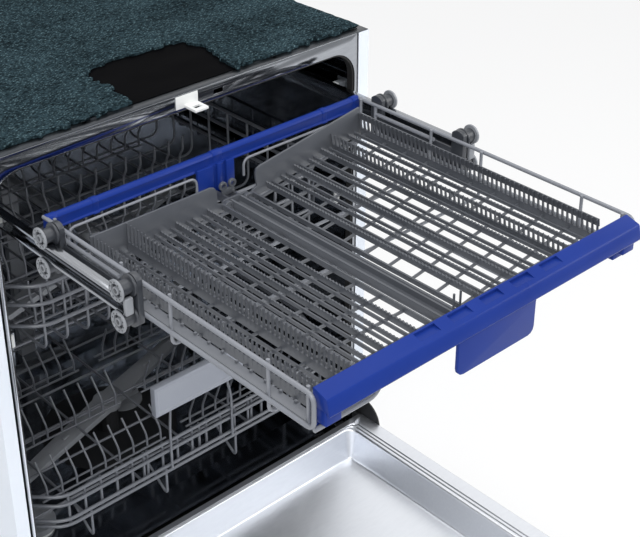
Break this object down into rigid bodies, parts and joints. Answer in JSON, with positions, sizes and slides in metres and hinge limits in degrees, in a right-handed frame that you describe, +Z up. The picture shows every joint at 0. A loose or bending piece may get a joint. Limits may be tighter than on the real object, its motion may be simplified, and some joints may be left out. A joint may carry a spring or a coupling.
{
  "type": "built-in dishwasher",
  "caption": "Built-in dishwasher with its door down, a pull-out cutlery rack with tilting comb grids on roller rails, and sliding wire baskets below it.",
  "frame": {"origin": "middle of the whole footprint on the floor, with the door down", "axes": "+Z up, -Y towards the user and the open door, +X to the user's right"},
  "size_m": [0.598, 1.1606, 0.815],
  "materials": {
    "stainless": "bright rolled stainless",
    "tub_stainless": "mirror-like stainless sheet",
    "galvanised": "dull galvanised sheet",
    "white_paint": "white coated sheet",
    "wire": "grey coated wire",
    "rail": "polished rolled rail",
    "steel": "zinc plated steel",
    "felt": "needled fibre felt",
    "bitumen": "black bitumen",
    "seal": "soft black seal",
    "white_plastic": "white moulding",
    "grey_plastic": "light grey moulding",
    "dark_plastic": "black moulding",
    "grid_plastic": "dark grey moulding",
    "blue_plastic": "blue moulding",
    "panel_plastic": "silver grey moulding",
    "iron": "bare casting"
  },
  "bodies": {
    "cabinet": {"base_tray": "dark_plastic", "levelling_feet": "dark_plastic", "side_panel_right": "white_paint", "side_panel_left": "white_paint", "front_frame": "stainless", "top_crossbar": "galvanised", "felt_blanket": "felt", "bitumen_sheet": "bitumen", "tub_wrapper": "tub_stainless", "tub_back": "tub_stainless", "tub_floor": "tub_stainless", "door_gasket": "seal", "latch_striker": "white_plastic", "hinge_brackets": "steel", "hinge_covers": "dark_plastic", "kick_plate": "white_paint", "counterweight": "iron", "sump": "dark_plastic", "circulation_pump": "dark_plastic", "drain_pump": "dark_plastic", "inlet_valve": "white_plastic", "water_softener": "white_plastic", "feed_pipe": "grey_plastic", "rail_guides": "white_plastic"},
    "door": {"door_liner": "stainless", "door_panel": "steel", "hinge_arms": "steel", "control_strip": "panel_plastic", "door_latch": "white_plastic", "dispenser": "grey_plastic"},
    "lid": {"detergent_lid": "grey_plastic"},
    "rinse": {"rinse_cap": "dark_plastic"},
    "first_button": {"button_1": "dark_plastic"},
    "second_button": {"button_2": "dark_plastic"},
    "rails": {"rack_rails": "rail"},
    "rack": {"rack_wires": "wire", "rack_front_bar": "blue_plastic", "rack_rear_bar": "blue_plastic", "rack_centre_beam": "grid_plastic", "wheel_carriers": "grey_plastic"},
    "left_tray": {"left_grid": "grid_plastic", "left_combs": "grid_plastic"},
    "right_tray": {"right_grid": "grid_plastic", "right_combs": "grid_plastic"},
    "upper_rear_wheels": {"rack_wheels_upper_rear": "grey_plastic"},
    "lower_rear_wheels": {"rack_wheels_lower_rear": "grey_plastic"},
    "upper_front_wheels": {"rack_wheels_upper_front": "grey_plastic"},
    "lower_front_wheels": {"rack_wheels_lower_front": "grey_plastic"},
    "upper_drawer": {"upper_basket": "wire", "upper_rails": "rail", "upper_feed_tube": "grey_plastic"},
    "upper_arm": {"upper_spray_arm": "grey_plastic"},
    "lower_drawer": {"lower_basket": "wire", "lower_basket_handle": "grey_plastic", "lower_wheel_carriers": "grey_plastic"},
    "basket_front_wheels": {"lower_wheels_front": "grey_plastic"},
    "basket_rear_wheels": {"lower_wheels_rear": "grey_plastic"},
    "lower_arm": {"lower_spray_arm": "grey_plastic"},
    "filter": {"filter_cup": "grey_plastic"},
    "salt": {"salt_cap": "grey_plastic"}
  },
  "joints": [
    {"name": "door_hinge", "type": "hinge", "parent": "cabinet", "child": "door", "pos_m": [0, 0.05225, 0.1775], "axis": [-1, 0, 0], "range_deg": [0, 90]},
    {"name": "rail_slide", "type": "slide", "parent": "cabinet", "child": "rails", "axis": [0, 1, 0], "range_m": [0, 0.23]},
    {"name": "rack_slide", "type": "slide", "parent": "rails", "child": "rack", "axis": [0, 1, 0], "range_m": [0, 0.275]},
    {"name": "upper_rear_spin", "type": "hinge", "parent": "rack", "child": "upper_rear_wheels", "pos_m": [0, -0.01675, 0.7455], "axis": [-1, 0, 0], "range_deg": [0, 1922]},
    {"name": "lower_rear_spin", "type": "hinge", "parent": "rack", "child": "lower_rear_wheels", "pos_m": [0, -0.01675, 0.7085], "axis": [1, 0, 0], "range_deg": [0, 1922]},
    {"name": "upper_front_spin", "type": "hinge", "parent": "rack", "child": "upper_front_wheels", "pos_m": [0, -0.15675, 0.7455], "axis": [-1, 0, 0], "range_deg": [0, 1922]},
    {"name": "lower_front_spin", "type": "hinge", "parent": "rack", "child": "lower_front_wheels", "pos_m": [0, -0.15675, 0.7085], "axis": [1, 0, 0], "range_deg": [0, 1922]},
    {"name": "left_grid_tilt", "type": "hinge", "parent": "rack", "child": "left_tray", "pos_m": [-0.015, -0.20375, 0.6963], "axis": [0, 1, 0], "range_deg": [0, 8.7]},
    {"name": "right_grid_tilt", "type": "hinge", "parent": "rack", "child": "right_tray", "pos_m": [0.015, -0.20375, 0.6963], "axis": [0, 1, 0], "range_deg": [0, 8.7]},
    {"name": "upper_basket_slide", "type": "slide", "parent": "cabinet", "child": "upper_drawer", "axis": [0, 1, 0], "range_m": [-0.38, 0]},
    {"name": "upper_arm_spin", "type": "hinge", "parent": "upper_drawer", "child": "upper_arm", "pos_m": [0, 0.31025, 0.485], "axis": [0, 0, 1], "continuous": true},
    {"name": "lower_basket_slide", "type": "slide", "parent": "cabinet", "child": "lower_drawer", "axis": [0, 1, 0], "range_m": [-0.4, 0]},
    {"name": "basket_front_spin", "type": "hinge", "parent": "lower_drawer", "child": "basket_front_wheels", "pos_m": [0, 0.13525, 0.204], "axis": [-1, 0, 0], "range_deg": [-1275, 0]},
    {"name": "basket_rear_spin", "type": "hinge", "parent": "lower_drawer", "child": "basket_rear_wheels", "pos_m": [0, 0.46525, 0.204], "axis": [-1, 0, 0], "range_deg": [-1275, 0]},
    {"name": "lower_arm_spin", "type": "hinge", "parent": "cabinet", "child": "lower_arm", "pos_m": [0, 0.31025, 0.213], "axis": [0, 0, 1], "continuous": true},
    {"name": "lid_hinge", "type": "hinge", "parent": "door", "child": "lid", "pos_m": [-0.066, -0.28025, 0.1523], "axis": [0, 1, 0], "range_deg": [-100, 0]},
    {"name": "rinse_cap_turn", "type": "hinge", "parent": "door", "child": "rinse", "pos_m": [0.049, -0.28025, 0.152], "axis": [0, 0, 1], "range_deg": [0, 90]},
    {"name": "filter_turn", "type": "hinge", "parent": "cabinet", "child": "filter", "pos_m": [0.055, 0.35225, 0.13], "axis": [0, 0, 1], "range_deg": [0, 60]},
    {"name": "salt_cap_turn", "type": "hinge", "parent": "cabinet", "child": "salt", "pos_m": [-0.205, 0.19025, 0.18], "axis": [0, 0, 1], "range_deg": [0, 90]},
    {"name": "first_button_press", "type": "slide", "parent": "door", "child": "first_button", "axis": [0, 1, 0], "range_m": [0, 0.0015], "stiffness_N_per_m": 400},
    {"name": "second_button_press", "type": "slide", "parent": "door", "child": "second_button", "axis": [0, 1, 0], "range_m": [0, 0.0015], "stiffness_N_per_m": 400}
  ],
  "couplings": [
    {"joint": "rail_slide", "follows": "door_hinge", "m_per_rad": 0.14642},
    {"joint": "rack_slide", "follows": "door_hinge", "m_per_rad": 0.17507},
    {"joint": "upper_rear_spin", "follows": "door_hinge", "ratio": 21.35},
    {"joint": "lower_rear_spin", "follows": "door_hinge", "ratio": 21.35},
    {"joint": "upper_front_spin", "follows": "door_hinge", "ratio": 21.35},
    {"joint": "lower_front_spin", "follows": "door_hinge", "ratio": 21.35},
    {"joint": "basket_front_spin", "follows": "lower_basket_slide", "rad_per_m": 55.556},
    {"joint": "basket_rear_spin", "follows": "lower_basket_slide", "rad_per_m": 55.556}
  ]
}
